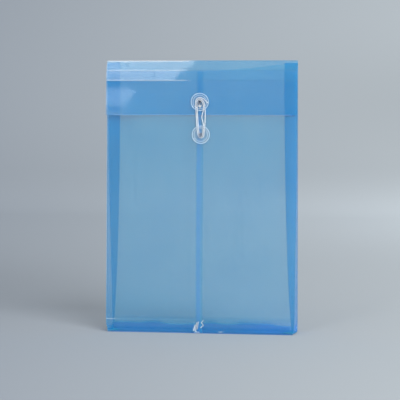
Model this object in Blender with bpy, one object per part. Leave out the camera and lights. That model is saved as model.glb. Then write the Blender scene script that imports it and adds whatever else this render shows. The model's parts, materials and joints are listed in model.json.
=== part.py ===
"""Upright document envelope of translucent blue film, closed by a string wound round two clear discs.

Metres, +Z up. The front, which carries the closure, faces -Y. The origin is at the middle of the base,
on the surface that the envelope stands on. The film is one creased sheet, so each panel between two
creases is a piece of its own, and a crease that bends in use is a hinge line with an empty on it.
"""

import math

import bmesh
import bpy
import numpy as np
from mathutils import Matrix, Vector

MM = 0.001

# The envelope
WIDTH = 235 * MM
HEIGHT = 334 * MM
BASE_DEPTH = 32 * MM
TOP_DEPTH = 3 * MM
BACK_TOP_GAP = 1.2 * MM  # from the back panel up to the top fold
FILM = 0.25 * MM
GAP = 0.3 * MM  # left between neighbouring pieces

# The front panel: two halves that lap at a seam just left of the middle
SEAM_LEFT = -5.8 * MM
SEAM_RIGHT = 2.6 * MM
STEP_WIDTH = 1.3 * MM  # of the bend that takes the left half behind the right one
MOUTH_DROP_SIDE = 7 * MM  # from the top fold down to the mouth's edge
MOUTH_DROP_MIDDLE = 13 * MM

# The side gussets
GUSSET_HALF = 16 * MM
FRONT_GUSSET_DROP = 8 * MM  # from the top fold down to the side edge of each half
REAR_GUSSET_DROP = 2.5 * MM
GUSSET_TOP_SLOPE = 2 * MM
GUSSET_ROWS = 16
GUSSET_ROW_SPREAD = 1.5  # rows lie closer together near the base, where the crease bends most

# The base
BASE_LAP = 9 * MM  # how far each base flap passes the middle
REAR_RADIUS = 8 * MM  # of the soft fold between the base and the back panel
REAR_STEPS = 8
TUCK_REACH = 16 * MM

# The flap: height and lean of each strip; a positive lean faces upwards
STRIP_DROPS = (11.7 * MM, 12.2 * MM, 42.6 * MM)
STRIP_LEANS = tuple(math.radians(a) for a in (29.2, 10.0, -1.6))

# The closure
UPPER_POST = (-1.2 * MM, 50.2 * MM)  # across from the middle, and down from the top fold
LOWER_POST = (-0.05 * MM, 90.4 * MM)
DISC_RADIUS = 11 * MM
DISC_THICK = 0.8 * MM
RIM_WIDTH = 1.6 * MM
RIM_RAISE = 0.3 * MM
WIND_SPACE = 2.6 * MM  # between the film and a disc, for the string
SHANK_RADIUS = 1.3 * MM
SHANK_BORE = 0.95 * MM
FLANGE_RADIUS = 2.1 * MM
FLANGE_THICK = 0.45 * MM
HOLE_RADIUS = 1.65 * MM
PUNCH_DEPTH = 5.5 * MM
WASHER_RADIUS = 4.5 * MM
WASHER_THICK = 0.5 * MM
TURN_STEPS = 40

# The string, wound outwards round both posts from the knot
STRING = 1.1 * MM
UPPER_TURN = 2.2 * MM  # radius of the tie round the upper post
UPPER_PITCH = 1.6 * MM  # added to it at each later pass
LOWER_TURN = 2.15 * MM
LOWER_PITCH = 1.65 * MM
TIE_START = 230  # degrees, anticlockwise from the right as seen from the front
RIGHT_LEAVES = 30  # where the right-hand runs leave an upper turn; they meet a lower one as far below
TIE_LEAD = 0.48  # share of the way from the tie to the middle of the knot where the string starts
TAIL_LEAVES = 62
TAIL_END = (9.6 * MM, -1.7 * MM)  # from the upper post
RUN_BOWS = (2.5 * MM, -0.5 * MM, 2.65 * MM, -0.5 * MM)  # sideways, at the fullest part of each run
BOW_SKEW = 0.6  # below 1, a run is fullest before its middle
DIP = -2.5 * MM  # of the first run, which is slack
DIP_AT = 0.46
DIP_WIDTH = 0.157
ARC_POINTS = 12  # to half a turn
RUN_POINTS = 18
TAIL_POINTS = 5
TAIL_SKIP = 0.15  # share of the tail before its first point
GAP_SAMPLES = 1200  # along the string, to measure how close it comes to itself
GAP_APART = 4 * STRING  # stretches closer than this along the string are neighbours
KNOT_AT = (-0.3 * MM, -5.2 * MM)  # from the upper post
KNOT_RADII = (1.9 * MM, 0.85 * MM, 1.45 * MM)

# Worked out from the sizes above
LEAN = math.atan((BASE_DEPTH - TOP_DEPTH) / 2 / HEIGHT)
FRONT_CREASE_Z = FILM + GAP / 2
LAP = FILM + GAP  # from one sheet to the next one behind it
BASE_REAR_Z = LAP  # underside of the rear base flap, which lies on the front one
TUCK_Z = 2 * LAP
REAR_CENTRE_Z = BASE_REAR_Z + REAR_RADIUS
REAR_CENTRE_Y = BASE_DEPTH / 2 - REAR_CENTRE_Z * math.tan(LEAN) - REAR_RADIUS / math.cos(LEAN)


def clear_scene():
    for obj in list(bpy.data.objects):
        bpy.data.objects.remove(obj, do_unlink=True)


def finish(name, colour, roughness, metallic=0.0, alpha=1.0):
    mat = bpy.data.materials.new(name)
    mat.use_nodes = True
    shader = mat.node_tree.nodes["Principled BSDF"]
    shader.inputs["Base Color"].default_value = (*colour, 1.0)
    shader.inputs["Roughness"].default_value = roughness
    shader.inputs["Metallic"].default_value = metallic
    shader.inputs["Alpha"].default_value = alpha
    return mat


def pivot(name, place, tilt=0.0, parent=None):
    """An empty on a joint's axis, turned about X."""
    empty = bpy.data.objects.new(name, None)
    empty.location = place
    empty.rotation_euler = (tilt, 0.0, 0.0)
    empty.empty_display_size = 10 * MM
    empty.parent = parent
    bpy.context.collection.objects.link(empty)
    return empty


def place(name, data, mat, parent):
    """A piece in its parent's own axes."""
    data.materials.append(mat)
    obj = bpy.data.objects.new(name, data)
    obj.parent = parent
    bpy.context.collection.objects.link(obj)
    return obj


def film_piece(name, grid, mat, parent, side):
    """A film panel through a grid of points, thickened away from its outer face.

    side is 1 or -1, and turns the faces so that they point outwards; 0 keeps the grid as the middle.
    """
    rows, columns = len(grid), len(grid[0])
    points = [p for row in grid for p in row]
    faces = []
    for r in range(rows - 1):
        for c in range(columns - 1):
            k = r * columns + c
            face = (k, k + 1, k + columns + 1, k + columns)
            faces.append(face if side >= 0 else face[::-1])
    mesh = bpy.data.meshes.new(name)
    mesh.from_pydata(points, [], faces)
    obj = place(name, mesh, mat, parent)
    wall = obj.modifiers.new("film", "SOLIDIFY")
    wall.thickness = FILM
    wall.offset = -abs(side)
    wall.use_even_offset = True
    return obj


def punch(obj, parent, across, up):
    """A round hole through a panel, along its own Y."""
    mesh = bpy.data.meshes.new(obj.name + "_hole")
    shape = bmesh.new()
    turn = Matrix.Translation((across, 0.0, up)) @ Matrix.Rotation(math.pi / 2, 4, "X")
    bmesh.ops.create_cone(
        shape,
        cap_ends=True,
        segments=TURN_STEPS // 2,
        radius1=HOLE_RADIUS,
        radius2=HOLE_RADIUS,
        depth=PUNCH_DEPTH,
        matrix=turn,
    )
    shape.to_mesh(mesh)
    shape.free()
    cutter = bpy.data.objects.new(mesh.name, mesh)
    cutter.parent = parent
    cutter.hide_render = True
    cutter.display_type = "WIRE"
    bpy.context.collection.objects.link(cutter)
    cut = obj.modifiers.new("hole", "BOOLEAN")
    cut.operation = "DIFFERENCE"
    cut.object = cutter


def turned(name, profile, mat, parent):
    """A ring: a closed outline of (radius, distance out from the film) spun about the post."""
    shape = bmesh.new()
    verts = [shape.verts.new((r, -out, 0.0)) for r, out in profile]
    edges = [shape.edges.new((a, b)) for a, b in zip(verts, verts[1:] + verts[:1])]
    bmesh.ops.spin(
        shape,
        geom=verts + edges,
        cent=(0, 0, 0),
        axis=(0, 1, 0),
        angle=2 * math.pi,
        steps=TURN_STEPS,
        use_merge=True,
    )
    bmesh.ops.recalc_face_normals(shape, faces=shape.faces)
    mesh = bpy.data.meshes.new(name)
    shape.to_mesh(mesh)
    shape.free()
    mesh.shade_smooth()
    mesh.set_sharp_from_angle(angle=math.radians(40))
    return place(name, mesh, mat, parent)


def front_outer(z):
    return -BASE_DEPTH / 2 + (z - FRONT_CREASE_Z) * math.tan(LEAN)


def back_outer(z):
    """Outer face of the back panel, or of the soft fold under it."""
    drop = REAR_CENTRE_Z - z
    if drop > -REAR_RADIUS * math.sin(LEAN):
        return REAR_CENTRE_Y + math.sqrt(REAR_RADIUS**2 - drop**2)
    return BASE_DEPTH / 2 - z * math.tan(LEAN)


def mouth_height(x):
    """The mouth's edge falls in a shallow V towards the middle."""
    inwards = 1 - abs(x) / (WIDTH / 2)
    return HEIGHT - MOUTH_DROP_SIDE - (MOUTH_DROP_MIDDLE - MOUTH_DROP_SIDE) * inwards


def back_panel(mat, base):
    frame = pivot("back_plane", (0, BASE_DEPTH / 2, 0), LEAN, base)
    low = (REAR_CENTRE_Z + REAR_RADIUS * math.sin(LEAN) + GAP) / math.cos(LEAN)
    high = (HEIGHT - BACK_TOP_GAP) / math.cos(LEAN)
    half = WIDTH / 2
    grid = [[(half, 0, z), (-half, 0, z)] for z in (low, high)]
    film_piece("back_panel", grid, mat, frame, 1)


def front_panels(mat, hinge):
    """Two halves; the left one steps back to lie behind the right one along the seam."""
    left = [-WIDTH / 2, SEAM_LEFT - GAP - STEP_WIDTH, SEAM_LEFT - GAP, SEAM_RIGHT]
    depths = [0, 0, LAP, LAP]
    right = [SEAM_LEFT, 0, WIDTH / 2]
    low = GAP / 2

    def top(x):
        return (mouth_height(x) - FRONT_CREASE_Z) / math.cos(LEAN)

    halves = []
    for name, stations, back in (
        ("front_panel_left", left, depths),
        ("front_panel_right", right, [0, 0, 0]),
    ):
        grid = [
            [(x, y, low) for x, y in zip(stations, back)],
            [(x, y, top(x)) for x, y in zip(stations, back)],
        ]
        halves.append(film_piece(name, grid, mat, hinge, 1))
    return halves


def gusset_crease(z):
    """How far in the centre crease lies: a half keeps its width as the walls draw together."""
    reach = abs(front_outer(z)) - 2 * LAP
    return math.sqrt(GUSSET_HALF**2 - reach**2)


def gussets(mat, front_hinge, base):
    """Each half is ruled from the side edge to the centre crease, which bends inwards as it rises."""
    bpy.context.view_layer.update()
    low = TUCK_Z + LAP
    walls = (
        ("front", -1, front_outer, FRONT_GUSSET_DROP, front_hinge),
        ("rear", 1, back_outer, REAR_GUSSET_DROP, base),
    )
    for side, hand in (("left", -1), ("right", 1)):
        for wall, sense, outer, drop, carrier in walls:
            to_carrier = carrier.matrix_world.inverted()
            edge_top = HEIGHT - drop
            crease_top = edge_top - sense * GUSSET_TOP_SLOPE
            grid = []
            for t in np.linspace(0, 1, GUSSET_ROWS + 1) ** GUSSET_ROW_SPREAD:
                edge_z = low + t * (edge_top - low)
                crease_z = low + t * (crease_top - low)
                edge = (
                    hand * (WIDTH - FILM) / 2,
                    outer(edge_z) - sense * (FILM / math.cos(LEAN) + GAP + FILM / 2),
                    edge_z,
                )
                crease = (
                    hand * (WIDTH / 2 - gusset_crease(crease_z)),
                    sense * LAP / 2,
                    crease_z,
                )
                grid.append([tuple(to_carrier @ Vector(p)) for p in (edge, crease)])
            film_piece(f"{side}_gusset_{wall}", grid, mat, carrier, 0)


def base_pieces(mat, base):
    """Front flap on the floor, rear flap on it with the soft fold up to the back, side tucks on top."""
    half = WIDTH / 2

    inner = half - (BASE_LAP + BASE_DEPTH / 2)
    front = [
        [(-half, -BASE_DEPTH / 2, 0), (half, -BASE_DEPTH / 2, 0)],
        [(-inner, BASE_LAP, 0), (inner, BASE_LAP, 0)],
    ]
    film_piece("base_front_flap", front, mat, base, -1)

    rear_inner = half - (REAR_CENTRE_Y + BASE_LAP)
    rear = [[(-rear_inner, -BASE_LAP, BASE_REAR_Z), (rear_inner, -BASE_LAP, BASE_REAR_Z)]]
    for turn in np.linspace(-math.pi / 2, LEAN, REAR_STEPS + 1):
        y = REAR_CENTRE_Y + REAR_RADIUS * math.cos(turn)
        z = REAR_CENTRE_Z + REAR_RADIUS * math.sin(turn)
        rear.append([(-half, y, z), (half, y, z)])
    film_piece("base_rear_flap", rear, mat, base, -1)

    front_end = -BASE_DEPTH / 2 + 2 * LAP
    middle = (front_end + REAR_CENTRE_Y) / 2
    for side, hand in (("left", -1), ("right", 1)):
        outside, tip = hand * (half - GAP), hand * (half - TUCK_REACH)
        tuck = [
            [(outside, front_end, TUCK_Z), (tip, middle - GAP, TUCK_Z)],
            [(outside, REAR_CENTRE_Y, TUCK_Z), (tip, middle + GAP, TUCK_Z)],
        ]
        film_piece(f"base_{side}_tuck", tuck, mat, base, hand)


def flap(mat):
    """Three strips hung from the top fold, each from the crease at the foot of the one above."""
    names = ("flap_upper_strip", "flap_middle_strip", "flap_panel")
    parent, start, lean_above = None, Vector((0, TOP_DEPTH / 2, HEIGHT)), 0.0
    pivots, pieces = [], []
    for name, drop, lean in zip(names, STRIP_DROPS, STRIP_LEANS):
        length = drop / math.cos(lean)
        crease = pivot(name + "_crease", start, lean_above - lean, parent)
        half = WIDTH / 2
        grid = [[(-half, 0, z), (half, 0, z)] for z in (GAP / 2 - length, -GAP / 2)]
        pieces.append(film_piece(name, grid, mat, crease, 1))
        pivots.append(crease)
        parent, start, lean_above = crease, Vector((0, 0, -length)), lean
    return pivots, pieces


def closure(name, post, layers, clear, metal):
    """A free disc, the hollow rivet that holds it, and the washer behind the film."""
    disc_out = WIND_SPACE + DISC_THICK
    rim_in = DISC_RADIUS - RIM_WIDTH
    disc = [
        (HOLE_RADIUS, WIND_SPACE),
        (DISC_RADIUS, WIND_SPACE),
        (DISC_RADIUS, disc_out + RIM_RAISE),
        (rim_in, disc_out + RIM_RAISE),
        (rim_in - RIM_RAISE, disc_out),
        (HOLE_RADIUS, disc_out),
    ]
    turned(name + "_disc", disc, clear, post)

    film_back = -(layers * FILM + (layers - 1) * GAP)
    washer_front = film_back - GAP
    washer_back = washer_front - WASHER_THICK
    washer = [
        (HOLE_RADIUS, washer_back),
        (WASHER_RADIUS, washer_back),
        (WASHER_RADIUS, washer_front),
        (HOLE_RADIUS, washer_front),
    ]
    turned(name + "_washer", washer, clear, post)

    head_in = disc_out + GAP
    head_out = head_in + FLANGE_THICK
    tail_in = washer_back - GAP
    tail_out = tail_in - FLANGE_THICK
    roll = FLANGE_THICK / 3
    rivet = [
        (SHANK_BORE, tail_out),
        (FLANGE_RADIUS - roll, tail_out),
        (FLANGE_RADIUS, tail_out + roll),
        (FLANGE_RADIUS, tail_in),
        (SHANK_RADIUS, tail_in),
        (SHANK_RADIUS, head_in),
        (FLANGE_RADIUS, head_in),
        (FLANGE_RADIUS, head_out - roll),
        (FLANGE_RADIUS - roll, head_out),
        (SHANK_BORE, head_out),
    ]
    turned(name + "_rivet", rivet, metal, post)


def arc(centre, radius, start, end):
    """Points on a circle, from one angle to another, clockwise."""
    count = max(3, round(ARC_POINTS * (start - end) / 180)) + 1
    turn = np.radians(np.linspace(start, end, count))
    return [(centre[0] + radius * math.cos(a), centre[1] + radius * math.sin(a)) for a in turn]


def run(start, end, bow, dip=0.0):
    """Points between two arcs, bowed sideways, with the arcs' own ends left out."""
    points = []
    for t in np.linspace(0, 1, RUN_POINTS + 2)[1:-1]:
        skewed = t**BOW_SKEW
        side = 4 * bow * skewed * (1 - skewed) + dip * math.exp(-(((t - DIP_AT) / DIP_WIDTH) ** 2))
        points.append((start[0] + t * (end[0] - start[0]) + side, start[1] + t * (end[1] - start[1])))
    return points


def winding(span):
    """The string's route, flat, from the knot out to the tail; the lower post is at (0, 0)."""
    upper, lower = (0.0, span), (0.0, 0.0)
    tie = arc(upper, UPPER_TURN, TIE_START, RIGHT_LEAVES)
    start = Vector(tie[0]) + (Vector(KNOT_AT) + Vector(upper) - Vector(tie[0])) * TIE_LEAD
    route = [tuple(start), *tie]
    bows = iter(RUN_BOWS)
    for turn in range(2):
        low = arc(lower, LOWER_TURN + turn * LOWER_PITCH, -RIGHT_LEAVES, -180)
        route += run(route[-1], low[0], next(bows), DIP if turn == 0 else 0.0) + low
        leaves = RIGHT_LEAVES if turn == 0 else TAIL_LEAVES
        high = arc(upper, UPPER_TURN + (turn + 1) * UPPER_PITCH, 180, leaves)
        route += run(route[-1], high[0], next(bows)) + high
    corner = Vector(route[-1]) + Vector((STRING, 0))
    tail = Vector(TAIL_END) + Vector(upper)
    route += [tuple(corner.lerp(tail, t)) for t in np.linspace(TAIL_SKIP, 1, TAIL_POINTS)]
    return route


def least_gap(points):
    """Least clear distance between stretches of the string that are not neighbours, and its length."""
    steps = np.linalg.norm(np.diff(points, axis=0), axis=1)
    along = np.concatenate([[0], np.cumsum(steps)])
    fine = np.linspace(0, along[-1], GAP_SAMPLES)
    line = np.stack([np.interp(fine, along, points[:, k]) for k in range(3)], axis=1)
    apart = np.linalg.norm(line[:, None] - line[None], axis=2)
    apart[np.abs(fine[:, None] - fine[None]) < GAP_APART] = np.inf
    return apart.min() - STRING, along[-1]


def string_and_knot(mat, upper_post, lower_post, carrier):
    """One unbroken tube in the plane through the middle of both winding spaces, and its knot."""
    bpy.context.view_layer.update()
    ends = [post.matrix_world @ Vector((0, -WIND_SPACE / 2, 0)) for post in (upper_post, lower_post)]
    up = (ends[0] - ends[1]).normalized()
    right = up.cross(Vector((0, -1, 0))).normalized()
    out = right.cross(up)
    span = (ends[0] - ends[1]).length
    route = [ends[1] + right * u + up * v for u, v in winding(span)]

    gap, length = least_gap(np.array([tuple(p) for p in route]))
    print(f"string: {length * 1000:.0f} mm long, least gap to itself {gap * 1000:.2f} mm")

    to_carrier = carrier.matrix_world.inverted()
    curve = bpy.data.curves.new("string_winding", "CURVE")
    curve.dimensions = "3D"
    curve.bevel_depth = STRING / 2
    curve.bevel_resolution = 1
    curve.use_fill_caps = True
    spline = curve.splines.new("POLY")
    spline.points.add(len(route) - 1)
    for point, spot in zip(spline.points, route):
        point.co = (*(to_carrier @ spot), 1.0)
    place("string_winding", curve, mat, carrier)

    shape = bmesh.new()
    bmesh.ops.create_icosphere(shape, subdivisions=2, radius=1.0)
    turn = Matrix((right, -out, up)).transposed().to_4x4()
    middle = ends[0] + KNOT_AT[0] * right + KNOT_AT[1] * up
    size = Matrix.Diagonal((*KNOT_RADII, 1.0))
    shape.transform(to_carrier @ Matrix.Translation(middle) @ turn @ size)
    mesh = bpy.data.meshes.new("string_knot")
    shape.to_mesh(mesh)
    shape.free()
    mesh.shade_smooth()
    place("string_knot", mesh, mat, carrier)


def main():
    clear_scene()
    film = finish("blue_film", (0.08, 0.33, 0.62), 0.25, alpha=0.35)
    clear = finish("clear_plastic", (0.72, 0.82, 0.88), 0.12, alpha=0.3)
    metal = finish("nickel", (0.3, 0.31, 0.33), 0.3, metallic=1.0)
    white = finish("white_string", (0.86, 0.88, 0.88), 0.85)

    base = pivot("base", (0, 0, 0))
    back_panel(film, base)
    base_pieces(film, base)
    front_hinge = pivot("front_crease", (0, -BASE_DEPTH / 2, FRONT_CREASE_Z), -LEAN)
    halves = front_panels(film, front_hinge)
    gussets(film, front_hinge, base)
    creases, strips = flap(film)

    upper_x, upper_drop = UPPER_POST
    upper_z = -(upper_drop - STRIP_DROPS[0] - STRIP_DROPS[1]) / math.cos(STRIP_LEANS[2])
    upper_post = pivot("upper_post", (upper_x, 0, upper_z), 0.0, creases[2])
    punch(strips[2], creases[2], upper_x, upper_z)
    closure("upper", upper_post, 1, clear, metal)

    lower_x, lower_drop = LOWER_POST
    lower_z = (HEIGHT - lower_drop - FRONT_CREASE_Z) / math.cos(LEAN)
    lower_post = pivot("lower_post", (lower_x, 0, lower_z), 0.0, front_hinge)
    for half in halves:
        punch(half, front_hinge, lower_x, lower_z)
    closure("lower", lower_post, 2, clear, metal)

    string_and_knot(white, upper_post, lower_post, creases[2])


main()
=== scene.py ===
import json
import math

import bpy
import numpy as np
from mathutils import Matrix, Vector


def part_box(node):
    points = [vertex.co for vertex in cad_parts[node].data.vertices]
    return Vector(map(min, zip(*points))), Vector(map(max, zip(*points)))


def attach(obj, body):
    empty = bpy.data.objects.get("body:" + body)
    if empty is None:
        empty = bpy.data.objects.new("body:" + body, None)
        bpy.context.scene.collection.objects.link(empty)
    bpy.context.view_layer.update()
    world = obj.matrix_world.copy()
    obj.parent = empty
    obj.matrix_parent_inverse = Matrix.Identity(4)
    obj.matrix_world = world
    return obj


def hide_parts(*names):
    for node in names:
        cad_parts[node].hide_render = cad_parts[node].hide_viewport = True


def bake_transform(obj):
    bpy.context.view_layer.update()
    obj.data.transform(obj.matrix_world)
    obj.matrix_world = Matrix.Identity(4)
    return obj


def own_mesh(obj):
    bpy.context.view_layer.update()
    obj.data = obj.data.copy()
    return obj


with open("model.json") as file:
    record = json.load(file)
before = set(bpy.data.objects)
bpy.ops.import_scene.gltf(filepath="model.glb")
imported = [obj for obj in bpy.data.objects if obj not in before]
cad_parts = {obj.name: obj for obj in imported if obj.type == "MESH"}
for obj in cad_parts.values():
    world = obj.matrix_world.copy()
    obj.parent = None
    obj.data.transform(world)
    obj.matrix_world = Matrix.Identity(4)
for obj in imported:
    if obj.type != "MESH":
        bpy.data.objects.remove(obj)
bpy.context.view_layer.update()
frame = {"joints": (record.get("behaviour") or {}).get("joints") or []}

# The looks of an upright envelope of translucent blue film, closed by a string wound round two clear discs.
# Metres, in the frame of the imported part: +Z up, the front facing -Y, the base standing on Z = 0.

MM = 0.001
ACROSS = np.array([1.0, 0.0, 0.0])
SIDES = (("left", -1), ("right", 1))

# Places read from the frame
JOINTS = {joint["name"]: joint for joint in frame["joints"]}
TOP_FOLD = np.array(JOINTS["flap_fold"]["pos_m"])
UPPER_CREASE = np.array(JOINTS["flap_crease_1"]["pos_m"])
LOWER_CREASE = np.array(JOINTS["flap_crease_2"]["pos_m"])
FRONT_FOOT = np.array(JOINTS["mouth_open"]["pos_m"])
UPPER_POST = np.array(JOINTS["upper_disc_spin"]["pos_m"])
LOWER_POST = np.array(JOINTS["lower_disc_spin"]["pos_m"])
FLAP_OUT = np.array(JOINTS["upper_disc_spin"]["axis"])
FRONT_OUT = np.array(JOINTS["lower_disc_spin"]["axis"])
FRONT_UP = np.cross(FRONT_OUT, ACROSS)
FRONT_HOLE = (LOWER_POST[0], float((LOWER_POST - FRONT_FOOT) @ FRONT_UP))  # across, and up the front film
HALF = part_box("back_panel")[1].x
SEAM_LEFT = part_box("front_panel_right")[0].x
SEAM_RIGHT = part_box("front_panel_left")[1].x
FLAP_END_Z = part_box("flap_panel")[0].z
REAR_FLAP_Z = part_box("base_rear_flap")[0].z
REAR_FLAP_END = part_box("base_rear_flap")[0].y
FRONT_FLAP_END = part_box("base_front_flap")[1].y
LEAN = math.asin(FRONT_OUT[2])  # of the front and back panels, towards each other

# All film. Marks from 0 to 1 on its points say how it looks there: crease whitens it, as creased film whitens
# and as painted highlights and glints; depth makes it as dense as folded layers, and in places paints shade;
# matt dulls it, rich makes it bluer, and shade darkens it as painted shade.
FILM_MARKS = ("crease", "depth", "matt", "rich", "shade")
FILM = 0.25 * MM
LAP = 0.55 * MM  # from one sheet to the next one behind it
SAME_LINE = 0.001 * MM  # grid lines closer than this are one
RIPPLES = (  # wavelength across and up, phase and share of each wave
    (151 * MM, 390 * MM, 0.7, 0.4),
    (-310 * MM, 173 * MM, 2.1, 0.4),
    (83 * MM, 127 * MM, 4.0, 0.2),
)
TAPER_RIGHT = 1.7 * MM  # how far the front's right edge is drawn in, at the base
TAPER_LEFT = 2.4 * MM  # and the back's left edge
TAPER_HEIGHT = 130 * MM
PINCH = 2.0 * MM  # how far both front corners are drawn in, at the base
PINCH_HEIGHT = 7 * MM
WHITE_LEAST = 0.12  # whitening of a crease on the right; on the left, where it also paints the softbox's highlight, it is 1
WHITE_END = -8 * MM
WHITE_FADE = 16 * MM

# Creases
FOLD_RADIUS = 0.34 * MM
FOLD_SIDES = 12
FOLD_POINTS = 60
FOLD_DEPTH = 0.1
BASE_FOLD_DEPTH = 0.9
SIDE_FOLD_POINTS = 24
SIDE_FOLD_HIGHLIGHT = 0.35  # least whitening of the front's side edges: a painted highlight along them
SIDE_FOLD_LEAST = 0.35  # share of it that is left at the base
SIDE_FOLD_FROM = 15 * MM
SIDE_FOLD_FADE = 70 * MM
REAR_FOLD_POINTS = 14
REAR_FOLD_ROUND = 12 * MM  # height below which the rear edges follow the soft fold
ASKEW = np.array([0.31, 0.74, 0.6])  # a direction that no crease follows

# The front film
STEP_WIDTH = 1.3 * MM  # of the bend that takes the left half behind the right one
SEAM_GAP = 0.3 * MM
MOUTH_SIDE = 2.7 * MM  # from the top fold down to the mouth's edge, at the sides
MOUTH_DIP = 10.6 * MM  # of that edge, from the sides to the middle
MOUTH_CURVE = 1.3  # power of the distance from the middle that the edge rises by
NIP = 2.1 * MM  # how far the front film is drawn back where the mouth closes
NIP_LENGTH = 13 * MM
STRAIGHT_ROWS = 300 * MM  # rows above this height follow the mouth's edge
FRONT_GRID = 4 * MM
SEAM_LINES = (-11 * MM, 6 * MM, 0.4 * MM)  # where grid lines lie closer: from, to and how far apart
FOOT_LINES = (0.0, 20 * MM, 0.4 * MM)
SIDE_REACH = 1 * MM
SIDE_GRID = 0.5 * MM
WELD_AT = -2.5 * MM  # the seam's darkest line, across
WELD_WIDTH = 2.2 * MM
WELD_DEPTH = 0.03
WELD_RICH = 0.6
WELD_TOP_DEPTH = 0.14  # added under the flap
WELD_TOP = 266 * MM
WELD_TOP_FADE = 9 * MM
BOW = 1.1 * MM  # of the front and the back, outwards
BOW_TOP = 225 * MM
FRONT_UNEVEN = 0.25 * MM
SCORE_AT = 15.6 * MM  # the scored line above the base
SCORE_RISE = 0.16 * MM
SCORE_WIDTH = 0.8 * MM
SCORE_LINE = 0.5 * MM  # half width of its whitening, a painted highlight along the ridge
SCORE_HIGHLIGHT = 0.22
SCORE_CORNER_HIGHLIGHT = 0.48  # added in the left corner, where the painted highlight is brightest
SCORE_CORNER = 14 * MM
SCORE_CORNER_FADE = 4 * MM
CRUMPLE_GLINTS = (  # half width of a white line, a painted glint on a crumple, then its points across and up
    (1.1 * MM, np.array([(-8.0, 3.4), (-6.0, 9.4)]) * MM),
    (1.0 * MM, np.array([(-6.2, 2.6), (-4.0, 12.4)]) * MM),
    (0.6 * MM, np.array([(-3.6, 5.0), (-2.2, 13.6)]) * MM),
    (0.6 * MM, np.array([(3.8, 15.6), (1.5, 12.6), (4.0, 9.6), (0.8, 6.6)]) * MM),
    (0.4 * MM, np.array([(-5.5, 1.0), (-1.0, 1.0)]) * MM),
    (0.45 * MM, np.array([(24.5, 0.8), (29.4, 3.6)]) * MM),
    (0.4 * MM, np.array([(66.8, 5.0), (68.2, 5.0)]) * MM),
)
DENTS = (  # across, half width, height of the deepest point, depth
    (-5.6 * MM, 2.0 * MM, 5.0 * MM, 1.5 * MM),
    (2.2 * MM, 1.5 * MM, 6.5 * MM, 1.0 * MM),
    (26.0 * MM, 1.8 * MM, 2.0 * MM, 0.5 * MM),
    (67.0 * MM, 1.3 * MM, 2.6 * MM, 0.5 * MM),
)

# The back film and the folded base
REAR_RADIUS = 8 * MM
REAR_CENTRE_Z = REAR_FLAP_Z + REAR_RADIUS
REAR_CENTRE_Y = -FRONT_FOOT[1] - REAR_CENTRE_Z * math.tan(LEAN) - REAR_RADIUS / math.cos(LEAN)
LEVEL = 0.01 * MM  # rows no higher than this above the rear base flap lie on it
FLOOR_ROWS, ROUND_ROWS, WALL_ROWS, BACK_COLUMNS = 12, 15, 80, 61
BACK_UNEVEN = 0.3 * MM
SWELL_TOP = 0.75  # share of the back's height over which it bows
BASE_SHADE = 16 * MM  # height up to which the folded base darkens the film a little, partly as painted shade
BASE_SHADE_SHARE = 0.16
BASE_SHADE_FADE = 3 * MM
BASE_FOLD = 9.5 * MM  # and up to which it darkens it fully
BASE_FOLD_FADE = 4 * MM
WANDER = 0.2  # share by which that height wanders
WANDER_STRETCH = 2.3
WANDER_ROW = 40 * MM
CORNER_FADE = 0.7  # how much of the folded base's density is lost in its right corner
CORNER_START = 104 * MM
CORNER_WIDTH = 10 * MM
BASE_SHADING = 0.55  # of the back film above the folded base, on the left
SHADE_AT = 16 * MM
SHADE_REACH = 9 * MM
SHADE_END = 60 * MM  # across
SHADE_WIDTH = 100 * MM
ROYAL_START = 20 * MM  # across; right of it the folded base looks bluer
ROYAL_WIDTH = 80 * MM
ROYAL_TOP = 14 * MM
ROYAL_FADE = 5 * MM
SHADOW_DEPTH = 0.1  # of the back film in the shadow under the flap
SHADOW_AT = 245 * MM
SHADOW_REACH = 55 * MM
BASE_ROWS, BASE_COLUMNS = 14, 49
BASE_UNEVEN = 0.06 * MM
BASE_STRETCH = 4
BASE_LIFT = 6 * MM  # from the front crease to where the base flap is free to lift
TUCK_ROWS, TUCK_COLUMNS = 15, 13
TUCK_DEPTH = 0.5

# The gussets; a pair of values is for the left and the right one
GUSSET_HALF = 16 * MM
GUSSET_LOW = 1.65 * MM
GUSSET_TOP_REAR = 331.5 * MM
GUSSET_TOP_FRONT = 331 * MM
GUSSET_EDGE = 0.4 * MM  # from a panel's outer face in to the gusset's edge
GUSSET_ROUND = 0.05  # share of a half that the centre crease rounds off
GUSSET_ROWS = 90
GUSSET_SPREAD = 1.25  # above 1, rows lie closer together near the base
CREASE_LINES = np.linspace(-0.1, 0.1, 11)  # grid lines near the centre crease, as shares of a half
HALF_LINES = np.linspace(0.12, 1, 12)  # and on the rest of a half
GUSSET_RICH = 0.8
GUSSET_DEPTH = 0.07
GUSSET_TOP_DEPTH = 0.07  # added towards the top
GUSSET_TOP_FROM = 100 * MM
GUSSET_TOP_FADE = 120 * MM
GUSSET_BASE_DEPTH = {-1: 0.45, 1: 0.08}  # added towards the base; more on the left, as painted shade
GUSSET_SHADING = {-1: 0.35, 1: 0.0}
GUSSET_SHADE_TOP = 258 * MM
GUSSET_SHADE_FADE = 30 * MM

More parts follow.
